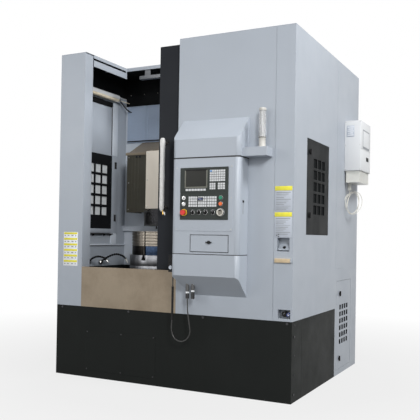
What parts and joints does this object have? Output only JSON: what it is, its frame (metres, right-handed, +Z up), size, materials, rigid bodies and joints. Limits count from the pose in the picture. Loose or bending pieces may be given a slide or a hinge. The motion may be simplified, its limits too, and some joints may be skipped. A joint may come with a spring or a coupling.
{
  "type": "vertical lathe",
  "caption": "Enclosed vertical turning lathe: sliding front door, chuck with ring jaws, cross saddle with turret, operator console, vented service doors and a side lubricator.",
  "frame": {"origin": "on the floor, in the middle of the enclosure's footprint", "axes": "+Z up, -Y out of the front with the work opening, +X towards the console side"},
  "size_m": [2.29, 2.0133, 2.75],
  "materials": {
    "frame_casting": "painted casting",
    "spindle_housing": "machined casting",
    "base_skirts": "satin powder coat",
    "skirt_bolts": "black oxide",
    "left_wall": "satin powder coat",
    "left_grille": "satin powder coat",
    "right_wall": "satin powder coat",
    "back_panel": "satin powder coat",
    "roof": "satin powder coat",
    "door_rails": "brushed",
    "front_panel": "satin powder coat",
    "apron": "brushed, stained",
    "inner_liner": "satin powder coat",
    "way_cover": "satin powder coat",
    "chip_pan": "worn paint",
    "work_lamp": "frosted tube",
    "console_box": "satin powder coat",
    "console_hood": "satin powder coat",
    "operator_plate": "brushed and coated",
    "cnc_unit": "textured",
    "cnc_screen": "display glass",
    "film_keys": "satin film",
    "control_panel": "textured",
    "tower_bracket": "satin powder coat",
    "tower_light": "clear and grey",
    "lube_pump": "moulded",
    "lube_tank": "translucent",
    "lube_coil": "clear tube",
    "pendant": "textured",
    "pendant_cord": "matt",
    "cord_plugs": "moulded",
    "air_fittings": "moulded",
    "door_panel": "satin powder coat",
    "door_glass": "laminated",
    "door_handle": "gloss",
    "saddle": "machined casting",
    "saddle_cover": "brushed, stained",
    "ram_cover": "satin powder coat",
    "turret_housing": "black paint",
    "turret_disc": "black oxide",
    "chuck": "turned",
    "jaw_a": "turned",
    "jaw_b": "turned",
    "jaw_c": "turned",
    "vent_door": "satin powder coat",
    "rear_door": "satin powder coat",
    "console_flap": "satin powder coat",
    "estop_button": "moulded",
    "start_button": "moulded",
    "stop_button": "moulded",
    "mpg_dial": "turned",
    "vent_latch_upper": "moulded",
    "vent_latch_lower": "moulded",
    "rear_latch_upper": "moulded",
    "rear_latch_lower": "moulded",
    "flap_latch": "moulded",
    "selector_1": "moulded",
    "selector_2": "moulded",
    "selector_3": "moulded",
    "selector_4": "moulded"
  },
  "bodies": {
    "machine": {"frame_casting": "frame_casting", "spindle_housing": "spindle_housing", "base_skirts": "base_skirts", "skirt_bolts": "skirt_bolts", "left_wall": "left_wall", "left_grille": "left_grille", "right_wall": "right_wall", "back_panel": "back_panel", "roof": "roof", "door_rails": "door_rails", "front_panel": "front_panel", "apron": "apron", "inner_liner": "inner_liner", "way_cover": "way_cover", "chip_pan": "chip_pan", "work_lamp": "work_lamp", "console_box": "console_box", "console_hood": "console_hood", "operator_plate": "operator_plate", "cnc_unit": "cnc_unit", "cnc_screen": "cnc_screen", "film_keys": "film_keys", "control_panel": "control_panel", "tower_bracket": "tower_bracket", "tower_light": "tower_light", "lube_pump": "lube_pump", "lube_tank": "lube_tank", "lube_coil": "lube_coil", "pendant": "pendant", "pendant_cord": "pendant_cord", "cord_plugs": "cord_plugs", "air_fittings": "air_fittings"},
    "door": {"door_panel": "door_panel", "door_glass": "door_glass", "door_handle": "door_handle"},
    "cross_saddle": {"saddle": "saddle", "saddle_cover": "saddle_cover"},
    "ram": {"ram_cover": "ram_cover", "turret_housing": "turret_housing"},
    "turret": {"turret_disc": "turret_disc"},
    "spindle": {"chuck": "chuck"},
    "jaw_a": {"jaw_a": "jaw_a"},
    "jaw_b": {"jaw_b": "jaw_b"},
    "jaw_c": {"jaw_c": "jaw_c"},
    "vent_leaf": {"vent_door": "vent_door"},
    "vent_latch_upper": {"vent_latch_upper": "vent_latch_upper"},
    "vent_latch_lower": {"vent_latch_lower": "vent_latch_lower"},
    "rear_leaf": {"rear_door": "rear_door"},
    "rear_latch_upper": {"rear_latch_upper": "rear_latch_upper"},
    "rear_latch_lower": {"rear_latch_lower": "rear_latch_lower"},
    "flap": {"console_flap": "console_flap"},
    "flap_latch": {"flap_latch": "flap_latch"},
    "estop": {"estop_button": "estop_button"},
    "start": {"start_button": "start_button"},
    "stop": {"stop_button": "stop_button"},
    "dial": {"mpg_dial": "mpg_dial"},
    "selector_1": {"selector_1": "selector_1"},
    "selector_2": {"selector_2": "selector_2"},
    "selector_3": {"selector_3": "selector_3"},
    "selector_4": {"selector_4": "selector_4"}
  },
  "joints": [
    {"name": "door_slide", "type": "slide", "parent": "machine", "child": "door", "axis": [-1, 0, 0], "range_m": [0, 0.718]},
    {"name": "saddle_slide", "type": "slide", "parent": "machine", "child": "cross_saddle", "axis": [1, 0, 0], "range_m": [-0.16, 0.16]},
    {"name": "ram_slide", "type": "slide", "parent": "cross_saddle", "child": "ram", "axis": [0, 0, 1], "range_m": [-0.024, 0.25]},
    {"name": "turret_index", "type": "hinge", "parent": "ram", "child": "turret", "pos_m": [-0.355, -0.393, 1.364], "axis": [0, 1, 0], "continuous": true},
    {"name": "spindle_spin", "type": "hinge", "parent": "machine", "child": "spindle", "pos_m": [-0.355, -0.405, 1], "axis": [0, 0, 1], "continuous": true},
    {"name": "jaw_a_slide", "type": "slide", "parent": "spindle", "child": "jaw_a", "axis": [-0.866, -0.5, 0], "range_m": [-0.004, 0.004]},
    {"name": "jaw_b_slide", "type": "slide", "parent": "spindle", "child": "jaw_b", "axis": [0.866, -0.5, 0], "range_m": [-0.004, 0.004]},
    {"name": "jaw_c_slide", "type": "slide", "parent": "spindle", "child": "jaw_c", "axis": [0, 1, 0], "range_m": [-0.004, 0.004]},
    {"name": "vent_hinge", "type": "hinge", "parent": "machine", "child": "vent_leaf", "pos_m": [1.062, -0.055, 1.592], "axis": [0, 0, 1], "range_deg": [0, 95]},
    {"name": "rear_hinge", "type": "hinge", "parent": "machine", "child": "rear_leaf", "pos_m": [1.062, 0.695, 0.435], "axis": [0, 0, 1], "range_deg": [0, 95]},
    {"name": "flap_hinge", "type": "hinge", "parent": "machine", "child": "flap", "pos_m": [0.474, -1.0675, 1.0865], "axis": [1, 0, 0], "range_deg": [0, 95]},
    {"name": "flap_latch_turn", "type": "hinge", "parent": "flap", "child": "flap_latch", "pos_m": [0.474, -1.07, 1.15325], "axis": [0, -1, 0], "range_deg": [0, 90]},
    {"name": "estop_press", "type": "slide", "parent": "machine", "child": "estop", "axis": [0, 1, 0], "range_m": [0, 0.006], "stiffness_N_per_m": 1500},
    {"name": "start_press", "type": "slide", "parent": "machine", "child": "start", "axis": [0, 1, 0], "range_m": [0, 0.003], "stiffness_N_per_m": 1200},
    {"name": "stop_press", "type": "slide", "parent": "machine", "child": "stop", "axis": [0, 1, 0], "range_m": [0, 0.003], "stiffness_N_per_m": 1200},
    {"name": "dial_turn", "type": "hinge", "parent": "machine", "child": "dial", "pos_m": [0.572, -1.078, 1.374], "axis": [0, -1, 0], "continuous": true},
    {"name": "vent_latch_upper_turn", "type": "hinge", "parent": "vent_leaf", "child": "vent_latch_upper", "pos_m": [1.07, -0.55, 1.86136], "axis": [1, 0, 0], "range_deg": [0, 90]},
    {"name": "vent_latch_lower_turn", "type": "hinge", "parent": "vent_leaf", "child": "vent_latch_lower", "pos_m": [1.07, -0.55, 1.37296], "axis": [1, 0, 0], "range_deg": [0, 90]},
    {"name": "rear_latch_upper_turn", "type": "hinge", "parent": "rear_leaf", "child": "rear_latch_upper", "pos_m": [1.07, 0.33, 0.71112], "axis": [1, 0, 0], "range_deg": [0, 90]},
    {"name": "rear_latch_lower_turn", "type": "hinge", "parent": "rear_leaf", "child": "rear_latch_lower", "pos_m": [1.07, 0.33, 0.14016], "axis": [1, 0, 0], "range_deg": [0, 90]},
    {"name": "selector_1_turn", "type": "hinge", "parent": "machine", "child": "selector_1", "pos_m": [0.338, -1.078, 1.374], "axis": [0, -1, 0], "range_deg": [-60, 60]},
    {"name": "selector_2_turn", "type": "hinge", "parent": "machine", "child": "selector_2", "pos_m": [0.39, -1.078, 1.374], "axis": [0, -1, 0], "range_deg": [-60, 60]},
    {"name": "selector_3_turn", "type": "hinge", "parent": "machine", "child": "selector_3", "pos_m": [0.445, -1.078, 1.374], "axis": [0, -1, 0], "range_deg": [-60, 60]},
    {"name": "selector_4_turn", "type": "hinge", "parent": "machine", "child": "selector_4", "pos_m": [0.507, -1.078, 1.374], "axis": [0, -1, 0], "range_deg": [-60, 60]}
  ],
  "couplings": [
    {"joint": "jaw_b_slide", "follows": "jaw_a_slide", "ratio": 1},
    {"joint": "jaw_c_slide", "follows": "jaw_a_slide", "ratio": 1}
  ]
}
